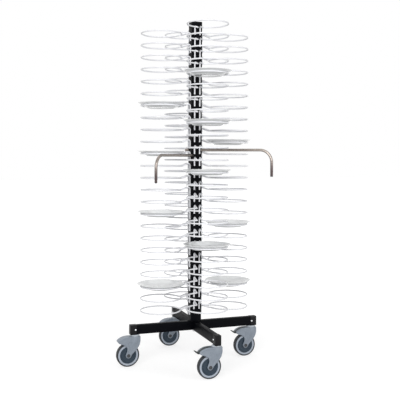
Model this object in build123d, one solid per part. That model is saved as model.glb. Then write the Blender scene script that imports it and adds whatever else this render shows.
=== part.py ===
from build123d import *

import math
import os

# Mobile plate dispenser: a square post with four columns of bent-wire plate holders, standing on
# a cross of box-section beams with four swivel castors.
#
# Millimetres, +Z up. The model is worked out about the post's axis at floor level, with columns
# and beams along +X (right), -X (left), -Y (front) and +Y (rear), and is saved with its origin
# under the middle of its overall box. Every castor trails towards -X, so that lies to one side.

os.makedirs("parts", exist_ok=True)

# ------------------------------------------------------------------ driving dimensions
# castors
wheel_diameter = 125.0
wheel_sides = 16  # flats on the tyre, the core and the discs
tyre_width = 32.0
tyre_depth = 7.5
tyre_bevel = 4.0
core_width = 25.0
disc_diameter = 98.0
disc_thickness = 2.0
hub_diameter = 28.0
axle_diameter = 8.0
axle_cap_diameter = 15.0
axle_cap_thickness = 3.0
trail = 40.0  # stem axis to axle, seen from above
fork_thickness = 6.0
fork_clearance = 3.5  # tyre to the inside of the hood
boss_radius = 14.0
crown_length = 52.0  # front to back across the top of the fork
crown_depth = 32.0
crown_taper = 4.0  # how far the crown's front edge leans back
hood_reach = 56.0  # hood's nose past the axle
hood_fall = 22.0  # hood's nose below the top of the fork
short_hood_reach = 34.0  # the same two sizes under a brake pedal
short_hood_fall = 34.0
pedal_recess = 2.0  # hood below the pedal's tread
swivel_head_diameter = 52.0
swivel_head_thickness = 8.0
stem_diameter = 16.0
stem_length = 38.0  # inside the beam
journal_length = 24.0  # inside the fork
journal_room = 1.0  # bore past the journal's end

# brake pedals
pedal_reach = 68.0  # pedal's tip past the axle
pedal_thickness = 5.0
pedal_slope = 0.2  # fall for each unit of length
pedal_arm_thickness = 3.5
pedal_arm_height = 11.0
pedal_setback = 6.0  # front of the tread behind the crown
tread_step = 1.0  # tread below the top of its arms, and the arms' lap on the tread
pedal_pivot_behind = 10.0  # pivot behind the stem's axis
pedal_pivot_below = 11.0  # pivot below the top of the fork
pedal_pin_diameter = 5.0
pedal_pin_length = 13.0
shoe_length = 12.0
shoe_width = 20.0
shoe_lift = 8.0  # shoe above the tyre with the pedal up
shoe_behind = 40.0  # middle of the shoe behind the pivot
shoe_travel = 5.0  # room in the hood's slot for the shoe's swing
shoe_slot_depth = 3.0  # slot below the top of the wheel

# base
beam_bottom = 172.0
beam_reach = 370.0  # post axis to the beam's open end
beam_height = 50.0
beam_width = 30.0
beam_wall = 2.0
beam_bevel = 1.5
stem_inset = 28.0  # stem axis inside the beam's open end
end_cap_wall = 1.5
end_cap_length = 36.0
cross_bolt_diameter = 6.0
cross_bolt_head_diameter = 10.0
cross_bolt_head_height = 3.5
cross_nut_flats = 10.0
cross_nut_height = 5.0
hub_bolt_diameter = 12.0
hub_bolt_flats = 19.0
hub_bolt_head = 8.0
hub_washer_diameter = 26.0
hub_washer_thickness = 3.0

# post
post_side = 60.0
post_wall = 3.0
post_bevel = 3.0
post_length = 1658.0
foot_block_height = 12.0
cap_thickness = 5.0
cap_depth = 14.0

# plate holders
level_count = 24
level_pitch = 66.0
lowest_level = 70.0  # lowest side hoop above the beams
wire_diameter = 6.0
wire_width = 6.24  # across the flat of the wire's three-sided section
wire_depth = 5.4
hoop_sides = 9
hoop_radius = 110.0  # to the middle of the wire
hoop_middle = 198.0  # post axis to hoop axis
leg_spacing = 30.0
leg_top = 16.0  # above the hoop's plane
leg_foot = 33.0  # below the hoop's plane

# plates
plate_diameter = 258.0
plate_foot_diameter = 160.0
plate_slope = 0.49
plate_thickness = 4.0
left_plates = (2, 8, 13, 17)  # levels that hold a plate, counted from 0 at the bottom
front_plates = (5, 11, 15, 19)
right_plates = (2, 7, 14)

# handles
handle_diameter = 15.0
handle_sides = 10
handle_reach = 452.0
handle_bend = 66.0
handle_bend_steps = 5
handle_drop = 142.0
handle_tail = 60.0
handle_tip_length = 5.0
handle_collar_diameter = 22.0
handle_collar_length = 10.0
right_handle_height = 1172.0
left_handle_height = 1142.0

small_sides = 8  # flats on pins, bores and caps

# clearances
running_gap = 0.05  # a shaft in its bore, radially
hole_gap = 0.3  # a rod, bolt or stem in a drilled hole
insert_gap = 0.2  # an insert in its tube, a cap over its tube
seat_gap = 0.2  # a plate on its hoop, a collar at its corner
swivel_gap = 0.3  # fork under its swivel head
tyre_side_gap = 2.0
hub_end_gap = 0.3
pedal_side_gap = 0.4

# ------------------------------------------------------------------ derived places
wheel_radius = wheel_diameter / 2
rim_radius = wheel_radius - tyre_depth
tyre_corner = wheel_radius / math.cos(math.pi / wheel_sides)
cavity_radius = tyre_corner + fork_clearance
cavity_width = tyre_width + 2 * tyre_side_gap
fork_width = cavity_width + 2 * fork_thickness
head_top = beam_bottom - end_cap_wall - insert_gap
head_bottom = head_top - swivel_head_thickness
fork_top = head_bottom - swivel_gap
beam_middle = beam_bottom + beam_height / 2
stem_reach = beam_reach - stem_inset  # post axis to stem axis
beam_top = beam_bottom + beam_height
cap_half_width = beam_width / 2 + insert_gap + end_cap_wall
post_top = beam_top + post_length
post_offset = (stem_reach + trail + wheel_radius - beam_reach - end_cap_wall) / 2
wire_radius = wire_diameter / 2
side_levels = [beam_top + lowest_level + i * level_pitch for i in range(level_count)]
end_levels = [level + level_pitch / 2 for level in side_levels]
headings = {"right": 0, "rear": 90, "left": 180, "front": 270}
braked = ("front", "right")


# ------------------------------------------------------------------ shared forms
def flat_radius(radius, sides):
    """Flat distance of the regular polygon whose mean radius is the one given."""
    return 2 * radius / (1 + 1 / math.cos(math.pi / sides))


def shaft(diameter, length, sides=small_sides):
    """A pin along +Z whose corners lie on the given diameter."""
    return extrude(RegularPolygon(diameter / 2, sides), length)


def bore(diameter, length, gap, sides=small_sides):
    """A hole along +Z that clears a shaft of the given diameter by the gap."""
    return extrude(RegularPolygon(diameter / 2 + gap, sides, major_radius=False), length)


def ring(outer_flats, inner_flats, length, outer_sides, inner_sides):
    outline = RegularPolygon(outer_flats, outer_sides, major_radius=False)
    outline -= RegularPolygon(inner_flats, inner_sides, major_radius=False)
    return extrude(outline, length)


def bevelled_box(length, width, bevel, height):
    """A box along +Z with its four long edges bevelled."""
    outline = Rectangle(length, width)
    return extrude(chamfer(outline.vertices(), bevel), height)


def bent(section, points):
    """Carries a section along straight runs with mitred corners."""
    return sweep(section, path=Polyline(*points), transition=Transition.RIGHT)


def across(shape):
    """Turns a shape made along +Z so that it runs along -Y."""
    return Rot(90, 0, 0) * shape


def group(solids):
    return Compound(children=list(solids))


def save(name, shape):
    """Writes one node, moved so that the origin is under the middle of the whole cart."""
    export_step(Pos(post_offset, 0, 0) * shape, f"parts/{name}.step")


# ------------------------------------------------------------------ base beams
def beam(start, end):
    """A box-section beam along +X, with its castor hole and cross bolt hole."""
    length = end - start
    tube = bevelled_box(beam_height, beam_width, beam_bevel, length)
    tube -= extrude(Rectangle(beam_height - 2 * beam_wall, beam_width - 2 * beam_wall), length)
    return Pos(start, 0, beam_middle) * Rot(0, 90, 0) * tube


def castor_holes():
    stem_hole = Pos(stem_reach, 0, beam_bottom - 3 * beam_wall) * bore(
        stem_diameter, 5 * beam_wall, hole_gap
    )
    bolt_hole = Pos(stem_reach, beam_width, beam_middle) * across(
        bore(cross_bolt_diameter, 2 * beam_width, hole_gap, 6)
    )
    return [stem_hole, bolt_hole]


holes = castor_holes()
hub_hole = Pos(0, 0, beam_bottom) * bore(hub_bolt_diameter, beam_height, hole_gap)
long_beam = beam(-beam_reach, beam_reach) - hub_hole - holes
long_beam -= [Rot(0, 0, 180) * hole for hole in holes]
half_beam = beam(beam_width / 2, beam_reach) - holes
save("base_beam_long", long_beam)
save("base_beam_front", Rot(0, 0, headings["front"]) * half_beam)
save("base_beam_rear", Rot(0, 0, headings["rear"]) * half_beam)


# ------------------------------------------------------------------ caps over the beams' ends
def end_cap():
    wall = end_cap_wall + insert_gap
    outside = bevelled_box(
        beam_height + 2 * wall, beam_width + 2 * wall, beam_bevel, end_cap_length
    )
    inside = extrude(
        Rectangle(beam_height + 2 * insert_gap, beam_width + 2 * insert_gap),
        end_cap_length - end_cap_wall,
    )
    start = beam_reach + end_cap_wall - end_cap_length
    return Pos(start, 0, beam_middle) * Rot(0, 90, 0) * (outside - inside) - holes


cap = end_cap()
save("beam_end_caps", group(Rot(0, 0, turn) * cap for turn in headings.values()))


# ------------------------------------------------------------------ cross bolts through cap, beam and stem
def cross_bolt():
    """A bolt along Z, with its head at the +Z end."""
    length = 2 * cap_half_width + cross_nut_height
    head = Pos(0, 0, cap_half_width) * shaft(cross_bolt_head_diameter, cross_bolt_head_height)
    return head + Pos(0, 0, cap_half_width - length) * shaft(cross_bolt_diameter, length, 6)


def cross_nut():
    nut = extrude(RegularPolygon(cross_nut_flats / 2, 6, major_radius=False), cross_nut_height)
    nut -= bore(cross_bolt_diameter, cross_nut_height, running_gap, 6)
    return Pos(0, 0, -cap_half_width - cross_nut_height) * nut


def at_beam_ends(shape):
    """Copies with +Z turned to the front on the side beams and to the left on the other two."""
    for end in (-stem_reach, stem_reach):
        yield Pos(end, 0, beam_middle) * Rot(90, 0, 0) * shape
        yield Pos(0, end, beam_middle) * Rot(0, -90, 0) * shape


save("cross_bolts", group(at_beam_ends(cross_bolt())))
save("cross_bolt_nuts", group(at_beam_ends(cross_nut())))

# ------------------------------------------------------------------ post, its foot block and its cap
insert_side = post_side - 2 * post_wall - 2 * insert_gap
post_bore = extrude(Rectangle(post_side - 2 * post_wall, post_side - 2 * post_wall), post_length)
post = bevelled_box(post_side, post_side, post_bevel, post_length) - post_bore
post = Pos(0, 0, beam_top) * post
rod_hole = Pos(-post_side, 0, 0) * Rot(0, 90, 0) * bore(
    handle_diameter, 2 * post_side, hole_gap, handle_sides
)
post -= Pos(0, 0, right_handle_height) * Rot(0, 0, -45) * rod_hole
post -= Pos(0, 0, left_handle_height) * Rot(0, 0, -135) * rod_hole
save("post", post)

post_cap = Pos(0, 0, post_top) * bevelled_box(post_side, post_side, post_bevel, cap_thickness)
post_cap += Pos(0, 0, post_top - cap_depth) * extrude(Rectangle(insert_side, insert_side), cap_depth)
save("post_cap", post_cap)

foot_block = extrude(Rectangle(insert_side, insert_side), foot_block_height)
foot_block -= bore(hub_bolt_diameter, foot_block_height, running_gap)
save("post_foot_block", Pos(0, 0, beam_top) * foot_block)

washer = ring(
    hub_washer_diameter / 2,
    hub_bolt_diameter / 2 + hole_gap,
    hub_washer_thickness,
    small_sides,
    small_sides,
)
washer_bottom = beam_bottom - hub_washer_thickness
save("hub_washer", Pos(0, 0, washer_bottom) * washer)

hub_bolt = Pos(0, 0, washer_bottom - hub_bolt_head) * extrude(
    RegularPolygon(hub_bolt_flats / 2, 6, major_radius=False), hub_bolt_head
)
hub_bolt += Pos(0, 0, washer_bottom) * shaft(
    hub_bolt_diameter, hub_washer_thickness + beam_height + foot_block_height
)
save("hub_bolt", hub_bolt)

# ------------------------------------------------------------------ plate holders
hoop_flats = flat_radius(hoop_radius, hoop_sides)
hoop_corner = hoop_flats / math.cos(math.pi / hoop_sides)
leg_reach = post_side / 2 + wire_radius


def holder():
    """One wire bent from a foot on the post, round the hoop and back, pointing along +X."""
    step = 2 * math.pi / hoop_sides
    corners = []
    for i in range(hoop_sides):
        angle = math.pi + (i + 0.5) * step
        corners.append(
            (hoop_middle + hoop_corner * math.cos(angle), hoop_corner * math.sin(angle), 0)
        )
    side = leg_spacing / 2
    neck_end = hoop_middle - hoop_flats
    leg = [(leg_reach, -side, -leg_foot), (leg_reach, -side, leg_top), (neck_end, -side, 0)]
    other_leg = [(x, -y, z) for x, y, z in reversed(leg)]
    # the wire's flat lies on the post and, after its bends, on top of the hoop
    face = make_face(
        Polyline(
            (-wire_radius, -wire_width / 2),
            (-wire_radius, wire_width / 2),
            (wire_depth - wire_radius, 0),
            close=True,
        )
    )
    return bent(Pos(*leg[0]) * face, leg + corners + other_leg)


wire = holder()
for name, turn in headings.items():
    levels = side_levels if name in ("left", "right") else end_levels
    turned = Rot(0, 0, turn) * wire
    save(f"holders_{name}", group(Pos(0, 0, level) * turned for level in levels))


# ------------------------------------------------------------------ plates
def plate():
    """A deep plate resting in a hoop at height 0, centred on the hoop's axis."""
    # the wire's flat top leans inwards as far as its necks fall, so its inner edge is the seat
    lean = math.atan(leg_top / (hoop_middle - hoop_flats - leg_reach))
    seat_inside = wire_radius * math.sin(lean) + wire_width / 2 * math.cos(lean)
    seat_height = wire_radius * math.cos(lean) - wire_width / 2 * math.sin(lean)
    rim_flats = flat_radius(plate_diameter / 2, hoop_sides)
    foot_flats = flat_radius(plate_foot_diameter / 2, hoop_sides)
    foot_height = seat_height + seat_gap - plate_slope * (hoop_flats - seat_inside - foot_flats)
    rise = plate_slope * (rim_flats - foot_flats)
    lean_out = 90 - math.degrees(math.atan(plate_slope))
    turn = 180 + 180 / hoop_sides

    def bowl(floor_flats, height):
        outline = RegularPolygon(floor_flats, hoop_sides, major_radius=False, rotation=turn)
        return extrude(outline, height, taper=-lean_out)

    body = bowl(foot_flats, rise)
    rim = extrude(
        RegularPolygon(rim_flats, hoop_sides, major_radius=False, rotation=turn), plate_thickness
    )
    body += Pos(0, 0, rise) * rim
    body -= Pos(0, 0, plate_thickness) * bowl(foot_flats, rise)
    return Pos(hoop_middle, 0, foot_height) * body


china = plate()
for name, filled in (("left", left_plates), ("front", front_plates), ("right", right_plates)):
    levels = side_levels if name in ("left", "right") else end_levels
    turned = Rot(0, 0, headings[name]) * china
    save(f"plates_{name}", group(Pos(0, 0, levels[i]) * turned for i in filled))


# ------------------------------------------------------------------ handles
def handle_rod():
    """A rod through the post along +X at height 0, turned down at its far end."""
    straight = handle_reach - handle_bend
    points = [(-handle_tail, 0, 0)]
    for i in range(handle_bend_steps + 1):
        angle = math.pi / 2 * i / handle_bend_steps
        points.append(
            (straight + handle_bend * math.sin(angle), 0, handle_bend * (math.cos(angle) - 1))
        )
    points.append((handle_reach, 0, handle_tip_length - handle_drop))
    section = Rot(0, 90, 0) * RegularPolygon(handle_diameter / 2, handle_sides)
    return bent(Pos(*points[0]) * section, points)


rod = handle_rod()
tip = Pos(handle_reach, 0, -handle_drop) * shaft(handle_diameter, handle_tip_length, handle_sides)
post_crest = (post_side - post_bevel) / math.sqrt(2)
collar = ring(
    handle_collar_diameter / 2,
    handle_diameter / 2 + running_gap,
    handle_collar_length,
    handle_sides,
    handle_sides,
)
collar = Pos(-post_crest - seat_gap, 0, 0) * Rot(0, -90, 0) * collar
tips = []
collars = []
for name, turn, height in (
    ("right", -45, right_handle_height),
    ("left", -135, left_handle_height),
):
    place = Pos(0, 0, height) * Rot(0, 0, turn)
    save(f"handle_{name}", place * rod)
    tips.append(place * tip)
    collars.append(place * collar)
save("handle_tips", group(tips))
save("handle_collars", group(collars))

# ------------------------------------------------------------------ castors
# Each castor is made with its stem's axis on Z and its wheel trailing towards -X.
axle = Pos(-trail, 0, wheel_radius)


def on_axle(shape):
    """Lays a shape made along +Z on the axle, turned so that a flat of the tyre faces the floor."""
    return axle * across(Rot(0, 0, 180 / wheel_sides) * shape)


def from_middle(shape, length):
    """Puts a shape of the given length along +Z on the axle, half to each side."""
    return on_axle(Pos(0, 0, -length / 2) * shape)


def fork(nose_reach, nose_fall, pedal_above):
    """Two cheeks, a crown and a hood in one moulding, hollowed out for the wheel."""
    boss = []
    for angle in (-45, -90, -135, 180):
        boss.append(
            (
                -trail + boss_radius * math.cos(math.radians(angle)),
                wheel_radius + boss_radius * math.sin(math.radians(angle)),
            )
        )
    crown_front = crown_length / 2
    nose = -trail - nose_reach
    nose_top = fork_top - nose_fall
    back = [(nose, nose_top)]
    if pedal_above:
        back.append((-crown_front - pedal_recess, fork_top - crown_depth / 2 - pedal_recess))
        back.append((-crown_front, fork_top))
    else:
        back.append((-trail - nose_reach / 3, fork_top - nose_fall / 3))
        back.append((-crown_front, fork_top))
    outline = [
        (crown_front, fork_top),
        (crown_front - crown_taper, fork_top - crown_depth),
        (-trail + 3 * boss_radius, wheel_radius + 2.4 * boss_radius),
        *boss,
        (-trail - 0.4 * boss_radius, wheel_radius + 2 * boss_radius),
        (-trail - boss_radius, wheel_radius + 3.5 * boss_radius),
        (nose + boss_radius, nose_top - 1.4 * boss_radius),
        *back,
    ]
    side = make_face(Polyline(*outline, close=True))
    body = extrude(Plane.XZ * side, fork_width / 2, both=True)
    body -= from_middle(bore(2 * cavity_radius, cavity_width, 0, wheel_sides), cavity_width)
    body -= from_middle(bore(axle_diameter, 2 * fork_width, running_gap), 2 * fork_width)
    journal = bore(stem_diameter, journal_length + journal_room, running_gap)
    return body - Pos(0, 0, fork_top - journal_length - journal_room) * journal


# ------------------------------------------------------------------ brake pedals
pivot_x = -pedal_pivot_behind
pivot_z = fork_top - pedal_pivot_below
pedal_half_width = fork_width / 2 + pedal_side_gap + pedal_arm_thickness
pedal_front = -crown_length / 2 - pedal_setback
pedal_front_top = pivot_z + pedal_arm_height / 2 - tread_step
shoe_middle = pivot_x - shoe_behind


def pivot_pins(extra_gap=0.0):
    """Two short pins, one in each side of the crown."""
    end = pedal_half_width
    for side in (-1, 1):
        middle = side * (end - pedal_pin_length / 2)
        pin = Pos(0, 0, -pedal_pin_length / 2) * (
            bore(pedal_pin_diameter, pedal_pin_length, extra_gap)
            if extra_gap
            else shaft(pedal_pin_diameter, pedal_pin_length)
        )
        yield Pos(pivot_x, middle, pivot_z) * across(pin)


def brake_pedal():
    """A sloping tread on two arms that straddle the crown, with a shoe over the tyre."""
    tip_x = -trail - pedal_reach
    tip_top = pedal_front_top - pedal_slope * (pedal_front - tip_x)
    tread = make_face(
        Polyline(
            (pedal_front, pedal_front_top),
            (pedal_front, pedal_front_top - pedal_thickness),
            (tip_x, tip_top - pedal_thickness),
            (tip_x, tip_top),
            close=True,
        )
    )
    pedal = extrude(Plane.XZ * tread, pedal_half_width, both=True)
    arm = make_face(
        Polyline(
            (pivot_x + pedal_arm_height / 2, pivot_z + pedal_arm_height / 2),
            (pivot_x + pedal_arm_height / 2, pivot_z - pedal_arm_height / 2),
            (pedal_front, pedal_front_top - pedal_thickness),
            (pedal_front - tread_step, pedal_front_top - pedal_thickness),
            (pedal_front - tread_step, pedal_front_top),
            close=True,
        )
    )
    for side in (-1, 1):
        middle = side * (pedal_half_width - pedal_arm_thickness / 2)
        pedal += Pos(0, middle, 0) * extrude(
            Plane.XZ * arm, pedal_arm_thickness / 2, both=True
        )
    shoe_bottom = wheel_diameter + shoe_lift
    shoe_top = pedal_front_top - pedal_slope * (pedal_front - shoe_middle) - pedal_thickness / 2
    shoe = Box(shoe_length, shoe_width, shoe_top - shoe_bottom)
    pedal += Pos(shoe_middle, 0, (shoe_top + shoe_bottom) / 2) * shoe
    return pedal - list(pivot_pins(running_gap))


def shoe_slot():
    """Opens the hood for the shoe, further to the front, where the shoe swings to."""
    length = shoe_length + 2 * shoe_travel
    slot = Box(length, shoe_width + 4 * pedal_side_gap, crown_length)
    slot_bottom = wheel_diameter - shoe_slot_depth
    return Pos(shoe_middle + shoe_travel / 2, 0, slot_bottom + crown_length / 2) * slot


plain_fork = fork(hood_reach, hood_fall, False)
braked_fork = fork(short_hood_reach, short_hood_fall, True)
braked_fork -= shoe_slot()
braked_fork -= list(pivot_pins(running_gap))
pedal = brake_pedal()
pins = list(pivot_pins())


# ------------------------------------------------------------------ wheels and axles
def tyre():
    body = ring(wheel_radius, rim_radius, tyre_width, wheel_sides, wheel_sides)
    outer = [
        edge
        for face in (body.faces().sort_by(Axis.Z)[0], body.faces().sort_by(Axis.Z)[-1])
        for edge in face.outer_wire().edges()
    ]
    return from_middle(chamfer(outer, tyre_bevel), tyre_width)


def wheel_core():
    hub_length = cavity_width - 2 * hub_end_gap
    rim = RegularPolygon(rim_radius, wheel_sides, major_radius=False)
    core = from_middle(extrude(rim, core_width), core_width)
    core += from_middle(
        extrude(RegularPolygon(hub_diameter / 2, small_sides, major_radius=False), hub_length),
        hub_length,
    )
    return core - from_middle(bore(axle_diameter, 2 * fork_width, running_gap), 2 * fork_width)


def wheel_discs():
    """The pair of thin discs on the core's two sides, around its hub."""
    disc = ring(disc_diameter / 2, hub_diameter / 2, disc_thickness, wheel_sides, small_sides)
    for start in (core_width / 2, -core_width / 2 - disc_thickness):
        yield on_axle(Pos(0, 0, start) * disc)


def axle_caps():
    cap = shaft(axle_cap_diameter, axle_cap_thickness)
    for start in (fork_width / 2, -fork_width / 2 - axle_cap_thickness):
        yield on_axle(Pos(0, 0, start) * cap)


def stem():
    """The upright stem: a journal in the fork, and a shank in the beam with its bolt hole."""
    bottom = fork_top - journal_length
    body = Pos(0, 0, bottom) * shaft(stem_diameter, beam_bottom + stem_length - bottom)
    hole = bore(cross_bolt_diameter, 2 * stem_diameter, hole_gap, 6)
    return body - Pos(0, stem_diameter, beam_middle) * across(hole)


def swivel_head():
    """The round plate under the beam that the fork turns against."""
    return Pos(0, 0, head_bottom) * (
        extrude(
            RegularPolygon(swivel_head_diameter / 2, wheel_sides, major_radius=False),
            swivel_head_thickness,
        )
        - shaft(stem_diameter, swivel_head_thickness)
    )


tyre_ring = tyre()
core = wheel_core()
discs = list(wheel_discs())
caps = list(axle_caps())
axle_pin = from_middle(shaft(axle_diameter, fork_width), fork_width)
upright = stem()
head = swivel_head()
stems = []
heads = []
for name, turn in headings.items():
    spot = Pos(
        stem_reach * round(math.cos(math.radians(turn))),
        stem_reach * round(math.sin(math.radians(turn))),
        0,
    )
    # a stem's bolt hole runs across its own beam
    stems.append(spot * Rot(0, 0, turn) * upright)
    heads.append(spot * head)
    save(f"fork_{name}", spot * (braked_fork if name in braked else plain_fork))
    save(f"tyre_{name}", spot * tyre_ring)
    save(f"wheel_core_{name}", spot * core)
    save(f"wheel_discs_{name}", group(spot * disc for disc in discs))
    save(f"axle_pin_{name}", spot * axle_pin)
    save(f"axle_caps_{name}", group(spot * cap for cap in caps))
    if name in braked:
        save(f"brake_pedal_{name}", spot * pedal)
        save(f"pedal_pins_{name}", group(spot * pin for pin in pins))
save("castor_stems", group(stems))
save("swivel_heads", group(heads))
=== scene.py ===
import math

import bmesh
import bpy
from mathutils import Matrix, Vector
from mathutils.geometry import interpolate_bezier


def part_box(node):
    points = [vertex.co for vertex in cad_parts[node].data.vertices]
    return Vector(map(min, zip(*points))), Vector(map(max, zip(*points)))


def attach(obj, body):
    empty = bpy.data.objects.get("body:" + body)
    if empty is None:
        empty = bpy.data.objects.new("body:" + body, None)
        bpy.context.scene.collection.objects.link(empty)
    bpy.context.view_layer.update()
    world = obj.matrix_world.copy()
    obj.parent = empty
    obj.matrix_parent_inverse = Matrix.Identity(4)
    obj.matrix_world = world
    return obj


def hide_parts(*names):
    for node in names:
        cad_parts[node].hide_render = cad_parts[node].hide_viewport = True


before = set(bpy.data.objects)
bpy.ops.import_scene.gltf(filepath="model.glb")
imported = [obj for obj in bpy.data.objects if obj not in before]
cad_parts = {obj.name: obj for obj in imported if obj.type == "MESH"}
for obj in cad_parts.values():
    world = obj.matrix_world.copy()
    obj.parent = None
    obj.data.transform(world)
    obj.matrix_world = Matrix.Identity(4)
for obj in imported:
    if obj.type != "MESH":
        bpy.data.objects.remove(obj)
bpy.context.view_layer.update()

# ------------------------------------------------------------------ box-section beams
# The cross base is three lengths of 50 x 30 steel box section with rounded corners: one long beam
# and two half beams butted against its sides. They are cut, welded and powder-coated satin black.
mm = 0.001
beam_corner_radius = 3.0 * mm


def coating_texture_group():
    """Fine grain and slow, cloudy variation of a sprayed or moulded surface."""
    group = bpy.data.node_groups.new("coating_texture", "ShaderNodeTree")
    for name, value in (("Grain Scale", 900.0), ("Cloud Scale", 14.0)):
        socket = group.interface.new_socket(name, in_out="INPUT", socket_type="NodeSocketFloat")
        socket.default_value = value
    for name in ("Grain", "Cloud"):
        group.interface.new_socket(name, in_out="OUTPUT", socket_type="NodeSocketFloat")
    nodes, links = group.nodes, group.links
    start = nodes.new("NodeGroupInput")
    end = nodes.new("NodeGroupOutput")
    place = nodes.new("ShaderNodeTexCoord")
    grain = nodes.new("ShaderNodeTexNoise")
    grain.inputs["Detail"].default_value = 3.0
    grain.inputs["Roughness"].default_value = 0.55
    cloud = nodes.new("ShaderNodeTexNoise")
    cloud.inputs["Detail"].default_value = 5.0
    cloud.inputs["Roughness"].default_value = 0.6
    for texture, size, out in ((grain, "Grain Scale", "Grain"), (cloud, "Cloud Scale", "Cloud")):
        links.new(place.outputs["Object"], texture.inputs["Vector"])
        links.new(start.outputs[size], texture.inputs["Scale"])
        links.new(texture.outputs["Fac"], end.inputs[out])
    return group


coating_texture = coating_texture_group()


def coated(name, color, worn_color, roughness, grain_scale, relief, cloud_scale=14.0,
           metallic=0.0, coat=0.0, specular=0.5):
    """A finish whose colour and roughness drift slowly, over a fine relief of the given depth."""
    material = bpy.data.materials.new(name)
    material.use_nodes = True
    nodes, links = material.node_tree.nodes, material.node_tree.links
    shader = nodes["Principled BSDF"]
    shader.inputs["Metallic"].default_value = metallic
    shader.inputs["Specular IOR Level"].default_value = specular
    shader.inputs["Coat Weight"].default_value = coat
    shader.inputs["Coat Roughness"].default_value = 0.12
    texture = nodes.new("ShaderNodeGroup")
    texture.node_tree = coating_texture
    texture.inputs["Grain Scale"].default_value = grain_scale
    texture.inputs["Cloud Scale"].default_value = cloud_scale
    tint = nodes.new("ShaderNodeMix")
    tint.data_type = "RGBA"
    tint.inputs["A"].default_value = color
    tint.inputs["B"].default_value = worn_color
    links.new(texture.outputs["Cloud"], tint.inputs["Factor"])
    links.new(tint.outputs["Result"], shader.inputs["Base Color"])
    shine = nodes.new("ShaderNodeMapRange")
    shine.inputs["From Min"].default_value = 0.3
    shine.inputs["From Max"].default_value = 0.7
    shine.inputs["To Min"].default_value = roughness[0]
    shine.inputs["To Max"].default_value = roughness[1]
    links.new(texture.outputs["Cloud"], shine.inputs["Value"])
    links.new(shine.outputs["Result"], shader.inputs["Roughness"])
    bump = nodes.new("ShaderNodeBump")
    bump.inputs["Strength"].default_value = 0.5
    bump.inputs["Distance"].default_value = relief
    links.new(texture.outputs["Grain"], bump.inputs["Height"])
    links.new(bump.outputs["Normal"], shader.inputs["Normal"])
    return material


def piece(name, bm, material, crease=35.0):
    """Makes the finished object of a bmesh: normals out, smooth but for its creases."""
    bmesh.ops.recalc_face_normals(bm, faces=bm.faces)
    mesh = bpy.data.meshes.new(name)
    bm.to_mesh(mesh)
    bm.free()
    mesh.shade_smooth()
    mesh.set_sharp_from_angle(angle=math.radians(crease))
    mesh.materials.append(material)
    made = bpy.data.objects.new(name, mesh)
    bpy.context.scene.collection.objects.link(made)
    return made


def block(bm, low, high):
    """Adds a box between two corners and returns its edges."""
    low, high = Vector(low), Vector(high)
    place = Matrix.Translation((low + high) / 2) @ Matrix.Diagonal((*(high - low), 1.0))
    made = bmesh.ops.create_cube(bm, size=1.0, matrix=place)
    return list(dict.fromkeys(edge for vert in made["verts"] for edge in vert.link_edges))


def along(edges, axis):
    """The edges that run along one axis, 0 for X, 1 for Y and 2 for Z."""
    found = []
    for edge in edges:
        run = edge.verts[1].co - edge.verts[0].co
        if abs(run[axis]) > 0.99 * run.length:
            found.append(edge)
    return found


def soften(bm, geom, radius, segments=3, affect="EDGES"):
    """Rounds edges, or the corners of a flat outline."""
    bmesh.ops.bevel(bm, geom=geom, offset=radius, segments=segments, profile=0.5,
                    affect=affect, material=-1, clamp_overlap=True)


powder_black = coated("powder_coat_black", (0.0010, 0.0012, 0.0020, 1.0), (0.0035, 0.0038, 0.0055, 1.0),
                      roughness=(0.38, 0.50), grain_scale=1100.0, relief=0.06 * mm, specular=0.045)
for beam_node, long_axis in (("base_beam_long", 0), ("base_beam_front", 1), ("base_beam_rear", 1)):
    beam_mesh = bmesh.new()
    beam_edges = block(beam_mesh, *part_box(beam_node))
    soften(beam_mesh, along(beam_edges, long_axis), beam_corner_radius, segments=4)
    beam = piece(beam_node.replace("base_beam", "cross_beam"), beam_mesh, powder_black)
    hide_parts(beam_node)
    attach(beam, "root")

# ------------------------------------------------------------------ caps over the beams' ends
# Four moulded black plastic sleeves with a closed end, pushed over the beams. Each stands proud
# of its beam all round, and its corners are rounder than the steel's.
end_cap_length = 36.0 * mm
end_cap_wall = 1.7 * mm
end_cap_corner_radius = 3.4 * mm
post_low, post_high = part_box("post")
post_x = (post_low.x + post_high.x) / 2
# each side's turn about the post, in degrees
turns = {"right": 0.0, "rear": 90.0, "left": 180.0, "front": 270.0}
caps_low, caps_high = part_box("beam_end_caps")
beam_end = caps_high.x - post_x
cap_half_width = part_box("base_beam_long")[1].y + end_cap_wall


def stand(bm, turn=0.0, height=0.0):
    """Turns a bmesh made about the post's axis and puts it on that axis."""
    spin = Matrix.Rotation(math.radians(turn), 4, "Z")
    bmesh.ops.transform(bm, verts=bm.verts, matrix=Matrix.Translation((post_x, 0, height)) @ spin)
    return bm


cap_plastic = coated("moulded_black_plastic", (0.0045, 0.0045, 0.0055, 1.0),
                     (0.0075, 0.0075, 0.0090, 1.0), roughness=(0.32, 0.46), grain_scale=1500.0,
                     relief=0.05 * mm, specular=0.16)
for side, turn in turns.items():
    cap_mesh = bmesh.new()
    block(cap_mesh, (beam_end - end_cap_length, -cap_half_width, caps_low.z),
          (beam_end, cap_half_width, caps_high.z))
    # every edge but those round the sleeve's mouth
    outer_edges = [e for e in cap_mesh.edges if any(v.co.x > beam_end - 1.0 * mm for v in e.verts)]
    soften(cap_mesh, outer_edges, end_cap_corner_radius, segments=4)
    end_cap = piece("beam_end_cap_" + side, stand(cap_mesh, turn), cap_plastic)
    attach(end_cap, "root")
    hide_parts("beam_end_caps")

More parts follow.
